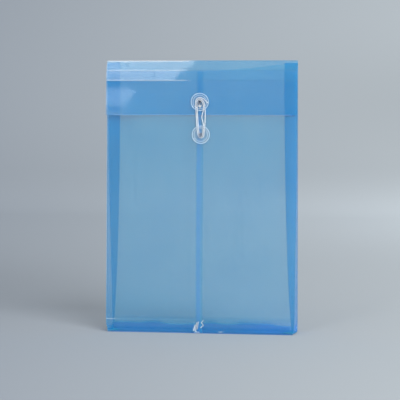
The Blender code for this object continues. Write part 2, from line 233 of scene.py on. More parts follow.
# The flap
FLAP_RICH = 0.4
FLAP_DEPTH = 0.18
FLAP_RIGHT_DEPTH = 0.05  # added on the right
FLAP_RIGHT_FROM = -30 * MM
FLAP_RIGHT_FADE = 60 * MM
UPPER_STRIP = {"edge": 1.3 * MM, "density": 0.3, "twist": 0.013, "ramp": 0.36 * MM}
MIDDLE_STRIP = {"edge": 0.6 * MM, "density": 0.8, "twist": 0.007, "ramp": 0.12 * MM}
STRIP_ROWS, STRIP_COLUMNS = 25, 71
STRIP_UNEVEN = 0.03 * MM
STRIP_WAVES = 50 * MM  # height of the ripple that is spread over a strip
TWIST_AT = -20 * MM
TWIST_WIDTH = 30 * MM
RAMP_START = -45 * MM
RAMP_WIDTH = 60 * MM
FLAP_GRID = 3 * MM
FLAP_ROW_GRID = 1.5 * MM
EDGE_REACH = 2 * MM  # from the crease and the lower edge, where rows lie closer
EDGE_GRID = 0.4 * MM
FLAP_UNEVEN = 0.2 * MM
FLAP_STRETCH = 3
CALM_REACH = 25 * MM  # from the rivet, within which the flap is more even
CREASE_WIDTH = 0.6 * MM
EDGE_HIGHLIGHT = 0.5  # of the lower edge: a painted highlight along it
EDGE_HIGHLIGHT_WIDTH = 0.4 * MM
EDGE_PLAIN = 5 * MM  # from each side; the lower edge's painted highlight is left out there
EDGE_FADE = 9 * MM
EDGE_DEPTH = 0.14  # added along the lower edge
EDGE_DEPTH_WIDTH = 1.5 * MM
BULGE = 4.7 * MM  # of the left corner
BULGE_AT = 38 * MM  # down from the lower crease
BULGE_REACH = 20 * MM
BULGE_WIDTH = 48 * MM
HAZE_AT = 18 * MM
HAZE_REACH = 22 * MM
HAZE_WIDTH = 40 * MM
CORNER_GLARE = 0.22  # whitening of the lower left corner: painted glare
CORNER_GLARE_REACH = 8 * MM
CORNER_ACROSS = 22 * MM
GLARE_THINNING = 0.9  # share of the flap's added density that is lost towards the lower left corner, lightening it as painted glare
GLARE_THINNING_AT = 18 * MM
GLARE_THINNING_REACH = 20 * MM

# The closure
DISC_RADIUS = 11 * MM
DISC_THICK = 0.8 * MM
DISC_EASE = 0.3 * MM  # radius of its rounded corners
RIM_WIDTH = 1.0 * MM
RIM_RAISE = 0.3 * MM
RING_RADIUS = 8.3 * MM
RING_WIDTH = 0.8 * MM
RING_RAISE = 0.14 * MM
RING_MARK = 0.6  # how much of the rim's veil, a painted highlight, the inner ring has
WIND_SPACE = 2.6 * MM
SHANK_RADIUS = 1.3 * MM
SHANK_BORE = 0.95 * MM
BORE_FLARE = 1.3 * SHANK_BORE  # radius of the bore at its mouth
FLANGE_RADIUS = 2.1 * MM
FLANGE_THICK = 0.45 * MM
RIVET_EASE = 0.2 * MM
HOLE_RADIUS = 1.65 * MM
PUNCH_CELLS = 3  # grid cells in a hole's radius
PUNCH_REACH = 3  # radii around a hole within which the grid bends round it
WASHER_RADIUS = 4.5 * MM
WASHER_THICK = 0.5 * MM
WASHER_EASE = 0.15 * MM
CLEARANCE = 0.3 * MM
TURN_STEPS = 96

# The string's route, wound outwards round both posts from the knot
STRING = 1.1 * MM
STRING_STEP = 0.25 * MM
STRING_BLUR = 0.5 * MM
PLIES = 3
PLY_SIDES = 8
PLY_SHARE = 0.5  # of the string's radius, both each ply's radius and how far out it lies
PLY_PITCH = 3.6 * MM
UPPER_TURN = 2.2 * MM  # radius of the tie round the upper post
UPPER_PITCH = 1.6 * MM  # added to it at each later pass
LOWER_TURN = 2.15 * MM
LOWER_PITCH = 1.65 * MM
TIE_START = 230  # degrees, anticlockwise from the right as seen from the front
RIGHT_LEAVES = 30
TIE_LEAD = 0.55  # share of the way from the tie to the knot where the string starts
TAIL_LEAVES = 62
TAIL_END = np.array([9.6 * MM, -1.7 * MM])  # from the upper post
TAIL_SKIP = 0.15  # share of the tail before its first point
RUN_BOWS = (2.5 * MM, -0.5 * MM, 2.65 * MM, -0.5 * MM)  # sideways, at the fullest part of each run
BOW_SKEW = 0.6  # below 1, a run is fullest before its middle
DIP = -2.5 * MM  # of the first run, which is slack
DIP_AT = 0.46
DIP_WIDTH = 0.157
LEAD_POINTS, TIE_POINTS, TURN_POINTS, RUN_POINTS, TAIL_POINTS = 6, 40, 36, 42, 16
FRAY = 0.6  # share by which the string's end is thicker
FRAY_AT = 5 * MM
FRAY_FADE = 4 * MM
TIP_LENGTH = 0.3 * MM
TIP_LEAST = 0.05
KNOT_AT = np.array([-0.3 * MM, -5.2 * MM])  # from the upper post
KNOT_SIZE = np.array([0.62 * MM, 0.46 * MM, 0.6 * MM])
KNOT_RADIUS = 0.43 * STRING
KNOT_POINTS = 161
KNOT_TWISTS = 6

# The photograph's view
PHOTO_SIDE = 400
FOCAL_PIXELS = 1625
VIEW_TARGET = Vector((-2.2 * MM, 0.0, 163.1 * MM))
VIEW_DISTANCE = 2.0
VIEW_AZIMUTH = math.radians(7.56)
VIEW_ELEVATION = math.radians(4.41)

# Colours and strengths of the finishes
FILM_BLUE = (0.0, 0.385, 0.68, 1.0)
FILM_DEEP = (0.0, 0.355, 0.66, 1.0)
FILM_RICH = (0.0, 0.30, 0.87, 1.0)
FILM_DARK = (0.0, 0.08, 0.45, 1.0)
FILM_ROYAL = (0.0, 0.11, 0.66, 1.0)
FILM_SHADE = (0.0, 0.1, 0.36, 1.0)
# the white of creased film, which also paints highlights and glints
FILM_PALE = (0.74, 0.77, 0.79, 1.0)
FILM_ALPHA = 0.18  # of each face; a sheet has two
HAZE_ALPHA = 0.02  # this and the next four are added, each where its mask is full
EDGE_ON_ALPHA = 0.6
DEPTH_ALPHA = 0.6
CREASE_ALPHA = 0.5
SCRATCH_ALPHA = 0.02
FILM_ROUGH = 0.025
FINE_ROUGH = 0.02
SCRATCH_ROUGH = 0.12
LAYERED = (0.2, 0.6)  # depths between which the gloss is lost
LAYERS_ROUGH = 0.6
MATT_ROUGH = 0.2
CLEAR_TINTS = (0.70, 0.84, 0.95, 1.0), (0.80, 0.90, 0.97, 1.0)
CLEAR_ALPHA = 0.045
CLEAR_EDGE_ALPHA = 0.4
# the rim's pale veil, a painted highlight
RIM_ALPHA = 0.6
NICKEL_TINTS = (0.31, 0.35, 0.41, 1.0), (0.21, 0.245, 0.30, 1.0)
COTTON_TINTS = (0.97, 0.975, 0.965, 1.0), (0.92, 0.93, 0.935, 1.0)
# painted shade in the valleys between plies
COTTON_VALLEY_SHADE = (0.82, 0.85, 0.88, 1.0)
# The backdrop's tints and levels paint the light on it: its falloff to the left, shade on the upright, glows
# and shades
STAGE_TINTS = (0.325, 0.363, 0.41, 1.0), (0.46, 0.505, 0.54, 1.0)  # left and right
STAGE_UPRIGHT = (-0.012, 0.022)  # slopes of sight between which the floor turns into the backdrop
STAGE_DIM = 0.87  # of the backdrop, where the floor has 1: painted shade on the upright
STAGE_GLOWS = (  # side, slope of sight, width and amount of each painted level glow or shade
    ("right", -0.012, 0.018, 0.19),
    ("right", 0.062, 0.035, -0.1),
    ("left", -0.05, 0.02, -0.13),
)
SKY_STRENGTH = 0.53
FILM_BOUNCES = 64


def unit(v):
    return v / np.linalg.norm(v, axis=-1, keepdims=True)


def smooth_step(t):
    """0 up to t = 0, 1 from t = 1, and three t squared minus two t cubed between."""
    t = np.clip(t, 0, 1)
    return t * t * (3 - 2 * t)


def bell(off, width, power=2):
    """A bell curve: e to the power of minus the distance in widths, itself raised to a power."""
    return np.exp(-((off / width) ** power))


def joined(x, y, z):
    """Points from their coordinates, each spread over the shape of all three."""
    return np.stack(np.broadcast_arrays(x, y, z), axis=-1)


def on_plane(start, x, s, rise, up, out):
    """Points x across and s up a plane through the start, and a rise out of it."""
    return start + x[..., None] * ACROSS + s[..., None] * up + rise[..., None] * out


def cells(rows, columns):
    """The four corners of each cell of a grid, shaped (rows - 1, columns - 1, 4)."""
    index = np.arange(rows * columns).reshape(rows, columns)
    return np.stack([index[:-1, :-1], index[:-1, 1:], index[1:, 1:], index[1:, :-1]], axis=-1)


def lengths_along(points):
    """The length of a line up to each of its points."""
    return np.concatenate([[0], np.cumsum(np.linalg.norm(np.diff(points, axis=0), axis=1))])


def link(obj):
    bpy.context.scene.collection.objects.link(obj)
    return obj


# Materials


def add(tree, kind, inputs, **settings):
    """A shader node; an input is given as a value or as another node's output."""
    node = tree.nodes.new("ShaderNode" + kind)
    for key, value in settings.items():
        setattr(node, key, value)
    for key, value in inputs.items():
        if isinstance(value, bpy.types.NodeSocket):
            tree.links.new(value, node.inputs[key])
        else:
            node.inputs[key].default_value = value
    return node


def maths(tree, operation, *inputs):
    return add(tree, "Math", dict(enumerate(inputs)), operation=operation).outputs[0]


def raised(tree, base, mask, amount):
    """A base value raised by an amount times a mask."""
    return maths(tree, "MULTIPLY_ADD", mask, amount, base)


def ranged(tree, value, low, high, start=0.0, end=1.0, kind="LINEAR"):
    """A value between low and high, spread from start to end."""
    inputs = {0: value, 1: low, 2: high, 3: start, 4: end}
    return add(tree, "MapRange", inputs, interpolation_type=kind).outputs[0]


def mixed(tree, factor, a, b):
    return add(tree, "Mix", {0: factor, 6: a, 7: b}, data_type="RGBA").outputs[2]


def place(tree):
    return add(tree, "TexCoord", {}).outputs["Object"]


def mark(tree, name):
    return add(tree, "Attribute", {}, attribute_name=name).outputs["Fac"]


def edge_on(tree, power):
    """1 where a face is seen edge on, and less by a power of how far it faces the view."""
    return maths(tree, "POWER", add(tree, "LayerWeight", {"Blend": 0.5}).outputs["Facing"], power)


def bump(tree, height, strength, distance):
    return add(tree, "Bump", {"Height": height, "Strength": strength, "Distance": distance}).outputs[0]


def node_group(name):
    """A group that turns a vector and a scale into a value."""
    tree = bpy.data.node_groups.new(name, "ShaderNodeTree")
    tree.interface.new_socket("Vector", in_out="INPUT", socket_type="NodeSocketVector")
    tree.interface.new_socket("Scale", in_out="INPUT", socket_type="NodeSocketFloat")
    tree.interface.new_socket("Value", in_out="OUTPUT", socket_type="NodeSocketFloat")
    return tree, tree.nodes.new("NodeGroupInput").outputs, tree.nodes.new("NodeGroupOutput").inputs


def noise(tree, vector, scale, detail):
    return add(tree, "TexNoise", {"Vector": vector, "Scale": scale, "Detail": detail}).outputs["Fac"]


def cloudiness_group():
    """Soft clouds: the middle part of fractal noise, spread from 0 to 1."""
    tree, given, put = node_group("cloudiness")
    clouds = noise(tree, given["Vector"], given["Scale"], 3.0)
    tree.links.new(ranged(tree, clouds, 0.32, 0.68), put["Value"])
    return tree


def hairlines_group():
    """Fine handling scratches: the crests of noise drawn out along two slants."""
    tree, given, put = node_group("hairlines")
    crests = []
    for turn, stretch in ((0.5, 0.03), (-0.9, 0.05)):
        slant = {"Vector": given["Vector"], "Rotation": (0.0, turn, 0.0), "Scale": (1.0, 1.0, stretch)}
        drawn_out = noise(tree, add(tree, "Mapping", slant).outputs[0], given["Scale"], 2.0)
        crests.append(ranged(tree, drawn_out, 0.66, 0.72))
    tree.links.new(maths(tree, "MAXIMUM", *crests), put["Value"])
    return tree


def grouped(tree, group, vector, scale):
    return add(tree, "Group", {"Vector": vector, "Scale": scale}, node_tree=group).outputs[0]


def new_material(name, **plain):
    """A material, its tree and its shader, whose plain values are set on its own sockets."""
    material = bpy.data.materials.new(name)
    material.use_nodes = True
    shader = material.node_tree.nodes["Principled BSDF"]
    for key, value in plain.items():
        shader.inputs[key.replace("_", " ").title().replace("Ior", "IOR")].default_value = value
    return material, material.node_tree, shader


def feed(tree, shader, **outputs):
    for key, value in outputs.items():
        tree.links.new(value, shader.inputs[key.replace("_", " ").title()])


CLOUDINESS = cloudiness_group()
HAIRLINES = hairlines_group()


def blue_film():
    """Hazy blue film: denser where it is seen edge on or lies in layers, and white where it is creased; its
    marks also paint highlights, glints and shade.

    The marks mix the tints. Alpha and roughness are sums of a base value and an amount times each mask.
    """
    material, tree, shader = new_material("blue_film", ior=2.0)
    where = place(tree)
    haze = grouped(tree, CLOUDINESS, where, 14.0)
    fine = grouped(tree, CLOUDINESS, where, 160.0)
    wave = grouped(tree, CLOUDINESS, where, 30.0)
    scratches = grouped(tree, HAIRLINES, where, 140.0)
    crease, depth, matt, rich, shade = [mark(tree, key) for key in FILM_MARKS]
    single = mixed(tree, rich, mixed(tree, haze, FILM_BLUE, FILM_DEEP), FILM_RICH)
    folded = mixed(tree, rich, FILM_DARK, FILM_ROYAL)
    tint = mixed(tree, maths(tree, "MULTIPLY", depth, depth), mixed(tree, shade, single, FILM_SHADE), folded)
    alpha = raised(tree, FILM_ALPHA, haze, HAZE_ALPHA)
    alpha = raised(tree, alpha, edge_on(tree, 4.0), EDGE_ON_ALPHA)
    alpha = raised(tree, alpha, depth, DEPTH_ALPHA)
    alpha = raised(tree, alpha, crease, CREASE_ALPHA)
    alpha = raised(tree, alpha, scratches, SCRATCH_ALPHA)
    rough = raised(tree, FILM_ROUGH, fine, FINE_ROUGH)
    rough = raised(tree, rough, scratches, SCRATCH_ROUGH)
    layers = ranged(tree, depth, *LAYERED, end=LAYERS_ROUGH)
    dull = maths(tree, "MAXIMUM", layers, maths(tree, "MULTIPLY", matt, MATT_ROUGH))
    feed(
        tree,
        shader,
        base_color=mixed(tree, crease, tint, FILM_PALE),
        alpha=alpha,
        roughness=maths(tree, "ADD", rough, dull),
        normal=bump(tree, wave, 0.35, 0.02 * MM),
    )
    return material


def clear_plastic():
    """Clear moulded plastic: a pale veil, stronger where it is seen edge on and on the rim, where it paints
    the highlights of the rim and the inner ring.
    """
    material, tree, shader = new_material("clear_plastic", ior=2.2)
    where = place(tree)
    haze = grouped(tree, CLOUDINESS, where, 220.0)
    scratches = grouped(tree, HAIRLINES, where, 900.0)
    veil = raised(tree, CLEAR_ALPHA, edge_on(tree, 2.0), CLEAR_EDGE_ALPHA)
    feed(
        tree,
        shader,
        base_color=mixed(tree, haze, *CLEAR_TINTS),
        alpha=raised(tree, veil, mark(tree, "rim"), RIM_ALPHA),
        roughness=raised(tree, raised(tree, 0.08, haze, 0.06), scratches, 0.15),
    )
    return material


def nickel():
    """Nickel plate, a little dulled, with turning marks."""
    material, tree, shader = new_material("nickel", metallic=1.0)
    where = place(tree)
    dull = grouped(tree, CLOUDINESS, where, 700.0)
    scratches = grouped(tree, HAIRLINES, where, 2500.0)
    rough = raised(tree, raised(tree, 0.22, dull, 0.14), scratches, 0.2)
    feed(tree, shader, base_color=mixed(tree, dull, *NICKEL_TINTS), roughness=rough)
    return material


def white_cotton():
    """Twisted cotton: fibres run along the ply, and the valleys between plies are greyer, as painted shade.
    """
    material, tree, shader = new_material("white_cotton", specular_ior_level=0.2, sheen_weight=0.25)
    along = {"Vector": add(tree, "UVMap", {}).outputs[0], "Scale": (3.0, 90.0, 1.0)}
    fuzz = grouped(tree, CLOUDINESS, add(tree, "Mapping", along).outputs[0], 6.0)
    feed(
        tree,
        shader,
        base_color=mixed(tree, mark(tree, "valley"), mixed(tree, fuzz, *COTTON_TINTS), COTTON_VALLEY_SHADE),
        roughness=raised(tree, 0.7, fuzz, 0.2),
        normal=bump(tree, fuzz, 0.5, 0.06 * MM),
    )
    return material


def toward(azimuth, elevation):
    """The direction at an azimuth to the right of the front and an elevation, both in radians."""
    flat = math.cos(elevation)
    return Vector((math.sin(azimuth) * flat, -math.cos(azimuth) * flat, math.sin(elevation)))


def stage_paint():
    """Matt grey-blue paper with painted light and shade: lighter towards the right, darker above the floor,
    with level glows and shades.

    Its coordinates are slopes of sight from the photograph's fixed viewpoint: across and up, over the
    distance. Each glow is a bell curve of the slope up, times the square of how far to its side a point lies.
    """
    material, tree, shader = new_material("backdrop", roughness=0.9, specular_ior_level=0.1)
    back = toward(VIEW_AZIMUTH, VIEW_ELEVATION)
    right = Vector((math.cos(VIEW_AZIMUTH), math.sin(VIEW_AZIMUTH), 0.0))
    from_target = add(tree, "VectorMath", {0: place(tree), 1: VIEW_TARGET}, operation="SUBTRACT").outputs[0]
    across, rise, near = [
        add(tree, "VectorMath", {0: from_target, 1: way}, operation="DOT_PRODUCT").outputs["Value"]
        for way in (right, back.cross(right), back)
    ]
    away = maths(tree, "SUBTRACT", VIEW_DISTANCE, near)
    edge = PHOTO_SIDE / 2 / FOCAL_PIXELS
    share = ranged(tree, maths(tree, "DIVIDE", across, away), -edge, edge)
    sides = {"right": share, "left": maths(tree, "SUBTRACT", 1.0, share)}
    slope = maths(tree, "DIVIDE", rise, away)
    level = ranged(tree, slope, *STAGE_UPRIGHT, start=1.0, end=STAGE_DIM, kind="SMOOTHSTEP")
    for side, middle, width, amount in STAGE_GLOWS:
        off = maths(tree, "DIVIDE", maths(tree, "SUBTRACT", slope, middle), width)
        curve = maths(tree, "POWER", math.e, maths(tree, "MULTIPLY", maths(tree, "MULTIPLY", off, off), -1.0))
        part = maths(tree, "MULTIPLY", maths(tree, "MULTIPLY", sides[side], sides[side]), amount)
        level = maths(tree, "MULTIPLY", level, raised(tree, 1.0, curve, part))
    paint = {0: mixed(tree, share, *STAGE_TINTS), "Scale": level}
    feed(tree, shader, base_color=add(tree, "VectorMath", paint, operation="SCALE").outputs[0])
    return material


BLUE_FILM = blue_film()
CLEAR_PLASTIC = clear_plastic()
NICKEL = nickel()
WHITE_COTTON = white_cotton()


# Camera, lamps and stage


def faced(obj, back):
    """Turns a camera or lamp so that the given direction points back from what it looks at."""
    obj.rotation_euler = back.to_track_quat("Z", "Y").to_euler()


def camera():
    data = bpy.data.cameras.new("camera")
    data.lens = FOCAL_PIXELS / PHOTO_SIDE * data.sensor_width
    obj = link(bpy.data.objects.new("camera", data))
    back = toward(VIEW_AZIMUTH, VIEW_ELEVATION)
    obj.location = VIEW_TARGET + back * VIEW_DISTANCE
    faced(obj, back)
    bpy.context.scene.camera = obj


def softbox(right_edge, elevation, distance, size, radiance):
    """A soft rectangular lamp, tilted towards the flap, with its right edge at a given X.

    Its power is its radiance times pi times its area.
    """
    data = bpy.data.lights.new("softbox", "AREA")
    data.shape = "RECTANGLE"
    data.size, data.size_y = size
    data.energy = radiance * math.pi * size[0] * size[1]
    obj = link(bpy.data.objects.new("softbox", data))
    back = toward(0.0, elevation)
    obj.location = Vector((right_edge - size[0] / 2, 0.0, TOP_FOLD[2])) + back * distance
    faced(obj, back)


def key_light(azimuth, elevation, spread, strength):
    """A wide, even light from far off, which lights floor, backdrop and envelope alike."""
    data = bpy.data.lights.new("key", "SUN")
    data.angle = spread
    data.energy = strength
    faced(link(bpy.data.objects.new("key", data)), toward(azimuth, elevation))


def stage_sweep():
    """Floor and backdrop in one sheet: a level line, a quarter circle and an upright, carried across."""
    turn = np.linspace(0, math.pi / 2, 24)
    reach, radius, near, height, half = 1.6, 0.9, -3.5, 3.2, 4.0
    y = np.concatenate([[near], reach + radius * np.sin(turn), [reach + radius]])
    z = np.concatenate([[0.0], radius * (1 - np.cos(turn)), [height]])
    grid = joined(np.linspace(-half, half, 9)[None, :], y[:, None], z[:, None])
    mesh = bpy.data.meshes.new("floor")
    quads = cells(*grid.shape[:2]).reshape(-1, 4)
    mesh.from_pydata(grid.reshape(-1, 3).tolist(), [], quads.tolist())
    mesh.shade_smooth()
    mesh.materials.append(stage_paint())
    link(bpy.data.objects.new("floor", mesh))


# Meshes


def finish_mesh(name, points, faces, material, body, slot, **attributes):
    """A piece at the origin from its points and groups of faces, shaded smooth up to a fold of 40 degrees."""
    mesh = bpy.data.meshes.new(name)
    mesh.from_pydata(points.tolist(), [], [face for group in faces for face in group.tolist()])
    for key, values in attributes.items():
        layer = mesh.attributes.new(key, "FLOAT", "POINT")
        layer.data.foreach_set("value", values.astype(np.float32))
    mesh.shade_smooth()
    mesh.set_sharp_from_angle(angle=math.radians(40))
    mesh.materials.append(material)
    obj = link(bpy.data.objects.new(name, mesh))
    if body:
        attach(obj, body)
    return obj


def shell(name, grid, body, crease=0.0, depth=0.0, matt=0.0, rich=0.0, shade=0.0, open_cells=None):
    """A closed film sheet from a grid of points on its outer face, shaped (rows, columns, 3).

    Each point's normal is the cross product of the grid's steps across and up. The inner face lies one
    thickness behind, and every border between a kept and a missing cell gets a wall.
    """
    grid = drawn_in(grid)
    rows, columns = grid.shape[:2]
    quads = cells(rows, columns)
    quads = quads.reshape(-1, 4) if open_cells is None else quads[~open_cells]
    normal = unit(np.cross(np.gradient(grid, axis=1), np.gradient(grid, axis=0)))
    outer = grid.reshape(-1, 3)
    inner = (grid - FILM * normal).reshape(-1, 3)
    count = len(outer)
    edges = np.concatenate([quads[:, [k, (k + 1) % 4]] for k in range(4)])
    border = edges[~np.isin(edges @ [count, 1], edges @ [1, count])]
    walls = np.stack([border[:, 1], border[:, 0], border[:, 0] + count, border[:, 1] + count], axis=-1)
    faces = np.concatenate([quads, quads[:, ::-1] + count, walls])
    kept, faces = np.unique(faces, return_inverse=True)
    points = np.concatenate([outer, inner])[kept]
    marks = dict(zip(FILM_MARKS, (crease, depth, matt, rich, shade)))
    for key, values in marks.items():
        marks[key] = np.tile(np.broadcast_to(values, (rows, columns)).reshape(-1), 2)[kept]
    return finish_mesh(name, points, [faces.reshape(-1, 4)], BLUE_FILM, body, "blue_film", **marks)


def lines(low, high, step, *windows):
    """Grid lines from low to high about a step apart; each window (low, high, step) has its own spacing."""
    marks = [np.linspace(low, high, max(2, round((high - low) / step) + 1))]
    for start, end, fine in windows:
        start, end = max(start, low), min(end, high)
        marks[0] = marks[0][(marks[0] < start - fine / 2) | (marks[0] > end + fine / 2)]
        marks.append(np.linspace(start, end, max(2, round((end - start) / fine) + 1)))
    merged = np.unique(np.concatenate([[low], *marks, [high]]))
    return merged[np.diff(merged, prepend=low - step) > SAME_LINE]


def punch_window(centre):
    reach = PUNCH_REACH * HOLE_RADIUS
    return centre - reach, centre + reach, HOLE_RADIUS / PUNCH_CELLS


def punched(x, s, centre):
    """Bends a grid round a hole: squares about it become circles near it, and stay squares far off.

    Also says which cells lie in the hole.
    """
    dx, ds = x - centre[0], s - centre[1]
    square = np.maximum(np.abs(dx), np.abs(ds))
    circle = np.hypot(dx, ds)
    far = smooth_step((square - HOLE_RADIUS) / ((PUNCH_REACH - 1) * HOLE_RADIUS))
    scale = far + (1 - far) * square / np.maximum(circle, 1e-9)
    middle = np.maximum(np.abs(dx[:-1, :-1] + dx[1:, 1:]), np.abs(ds[:-1, :-1] + ds[1:, 1:])) / 2
    return centre[0] + dx * scale, centre[1] + ds * scale, middle < HOLE_RADIUS


def sweep_tube(name, path, outline, normals, material, body, slot, **attributes):
    """A closed tube: outline (rings, sides, 2) gives each ring's offsets along the path's two normals.

    normals are the two unit normals at every point of the path. The first and last rings are capped.
    """
    rings, sides = outline.shape[:2]
    first, second = normals
    points = path[:, None] + outline[..., :1] * first[:, None] + outline[..., 1:] * second[:, None]
    index = np.arange(rings * sides).reshape(rings, sides)
    after = np.roll(index, -1, axis=1)
    walls = np.stack([index[:-1], after[:-1], after[1:], index[1:]], axis=-1).reshape(-1, 4)
    caps = np.stack([index[0, ::-1], index[-1]])
    flat = {key: values.reshape(-1) for key, values in attributes.items()}
    return finish_mesh(name, points.reshape(-1, 3), [walls, caps], material, body, slot, **flat)


def whitening_and_highlight(x):
    """How white creased film is, at x across: fully on the left, where this also paints the softbox's
    highlight, and hardly on the right.
    """
    return WHITE_LEAST + (1 - WHITE_LEAST) * smooth_step((WHITE_END - x) / WHITE_FADE)


def fold_roll(name, path, body, depth=FOLD_DEPTH, highlight_white=0.0, fade=1.0):
    """The rounded back of a crease: a round bead along it.

    It is white as creased film is, which on the left also paints the softbox's highlight, and at least as
    white as a given painted highlight, times a share that may change along it.
    """
    path = drawn_in(path)
    tangent = unit(np.gradient(path, axis=0))
    first = unit(np.cross(tangent, ASKEW))
    second = np.cross(tangent, first)
    turn = np.linspace(0, 2 * math.pi, FOLD_SIDES, endpoint=False)
    ring = FOLD_RADIUS * np.stack([np.cos(turn), np.sin(turn)], axis=-1)
    outline = np.tile(ring, (len(path), 1, 1))
    white = fade * np.maximum(whitening_and_highlight(path[:, 0]), highlight_white) * (1 - depth)
    marks = {"crease": np.tile(white[:, None], FOLD_SIDES), "depth": np.full((len(path), FOLD_SIDES), depth)}
    sweep_tube(name, path, outline, (first, second), BLUE_FILM, body, "blue_film", **marks)


# The film's sheets


def front_outer(z):
    """Outer face of the front film: its leaning plane."""
    return FRONT_FOOT[1] + (z - FRONT_FOOT[2]) * math.tan(LEAN)


def back_outer(z):
    """Outer face of the back film: its leaning plane, and below it the round of the soft fold."""
    drop = np.clip(REAR_CENTRE_Z - z, 0, REAR_RADIUS)
    plane = -FRONT_FOOT[1] - z * math.tan(LEAN)
    round_fold = REAR_CENTRE_Y + np.sqrt(REAR_RADIUS**2 - drop**2)
    return np.where(z < REAR_CENTRE_Z + REAR_RADIUS * math.sin(LEAN), round_fold, plane)


def ripple(x, z):
    """A slow unevenness of the film, in shares of its depth: three crossed sine waves of unlike length."""
    return sum(
        share * np.sin(2 * math.pi * (x / across + z / up) + phase) for across, up, phase, share in RIPPLES
    )


def drawn_in(points):
    """The film's points with its edges drawn in across, by shares of the way from the middle to each edge.

    The front's right edge and the back's left one are drawn in by a bell curve of the height, and the front
    corners by a shorter one. The share of the front or the back grows with y, from nothing half way.
    """
    x, y, z = np.moveaxis(points, -1, 0)
    front, back = np.clip(y / front_outer(z), 0, 1), np.clip(y / back_outer(z), 0, 1)
    right, left = np.clip(x / HALF, 0, 1), np.clip(-x / HALF, 0, 1)
    taper = bell(z, TAPER_HEIGHT) * (TAPER_LEFT * back * left - TAPER_RIGHT * front * right)
    pinch = bell(z, PINCH_HEIGHT) * PINCH * front * (left - right)
    return points + (taper + pinch)[..., None] * ACROSS


def nipped(z):
    """How far the front film is drawn back towards the mouth's edge: a parabola."""
    return NIP * np.clip(1 - (TOP_FOLD[2] - MOUTH_SIDE - z) / NIP_LENGTH, 0, None) ** 2


def front_relief(x, s):
    """How far the front film stands out of its plane, at x across and s up from the base crease.

    A bow over the lower part, a scored ridge above the base, and dents that deepen from the crease up to
    their own height and fade above it, each a bell curve across.
    """
    low = np.clip(s / BOW_TOP, 0, 1)
    rise = BOW * (1 - (x / HALF) ** 2) * np.sin(math.pi * low) ** 2
    rise = rise + FRONT_UNEVEN * ripple(x, s) * np.sin(math.pi * low) * (1 - (x / HALF) ** 4)
    rise = rise + SCORE_RISE * bell(s - SCORE_AT, SCORE_WIDTH)
    for across, width, height, depth in DENTS:
        up = s / height
        rise = rise - depth * up * np.exp(1 - up) * bell(x - across, width)
    return rise


def score_and_crumple_glints(x, s):
    """How white the front film is: bell curves about the scored ridge and about each crumple's lines. This
    whitening of the creased film also paints the highlight along the ridge and the glints on the crumples.
    """
    highlight_white = SCORE_HIGHLIGHT + SCORE_CORNER_HIGHLIGHT * smooth_step((SCORE_CORNER - HALF - x) / SCORE_CORNER_FADE)
    white = highlight_white * whitening_and_highlight(x) * bell(s - SCORE_AT, SCORE_LINE)
    for width, points in CRUMPLE_GLINTS:
        for start, end in zip(points[:-1], points[1:]):
            along = end - start
            t = np.clip(((x - start[0]) * along[0] + (s - start[1]) * along[1]) / (along @ along), 0, 1)
            away = np.hypot(x - start[0] - t * along[0], s - start[1] - t * along[1])
            white = np.maximum(white, bell(away, width))
    return white


def front_half(name, left, right, behind):
    """Half of the front film: a plane with its relief; the left half steps behind the right one.

    The upper rows sink towards the middle, as the mouth's edge does. A bell curve about the weld darkens it.
    """
    side = (left, left + SIDE_REACH, SIDE_GRID)
    x = lines(left, right, FRONT_GRID, side, SEAM_LINES, punch_window(FRONT_HOLE[0]))
    top = float(TOP_FOLD[2] - MOUTH_SIDE - FRONT_FOOT[2]) / math.cos(LEAN)
    s = lines(0.0, top, FRONT_GRID, FOOT_LINES, punch_window(FRONT_HOLE[1]))
    x, s = np.meshgrid(x, s)
    dip = MOUTH_DIP / math.cos(LEAN) * (1 - np.abs(x / HALF) ** MOUTH_CURVE)
    s = s - np.clip((s - STRAIGHT_ROWS) / (top - STRAIGHT_ROWS), 0, 1) * dip
    x, s, gone = punched(x, s, FRONT_HOLE)
    back = LAP * smooth_step((x - SEAM_LEFT + SEAM_GAP + STEP_WIDTH) / STEP_WIDTH) * behind
    rise = front_relief(x, s) - back - nipped(FRONT_FOOT[2] + s * FRONT_UP[2])
    grid = on_plane(FRONT_FOOT, x, s, rise, FRONT_UP, FRONT_OUT)
    weld = bell(x - WELD_AT, WELD_WIDTH)
    depth = weld * (WELD_DEPTH + WELD_TOP_DEPTH * smooth_step((s - WELD_TOP) / WELD_TOP_FADE))
    obj = shell(name, grid, "front", score_and_crumple_glints(x, s), depth, rich=WELD_RICH * weld, open_cells=gone)
    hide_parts(name.replace("_film", "_panel"))


def base_depth(x, z):
    """How much denser the film looks towards the base, where it lies folded; part of it is painted shade.

    Two soft steps of the height, and the height of the lower one wanders with x.
    """
    fold = BASE_FOLD * (1 + WANDER * ripple(WANDER_STRETCH * x, WANDER_ROW))
    shaded = smooth_step((BASE_SHADE - z) / BASE_SHADE_FADE)
    folded = smooth_step((fold - z) / BASE_FOLD_FADE)
    return BASE_SHADE_SHARE * shaded + (1 - BASE_SHADE_SHARE) * folded


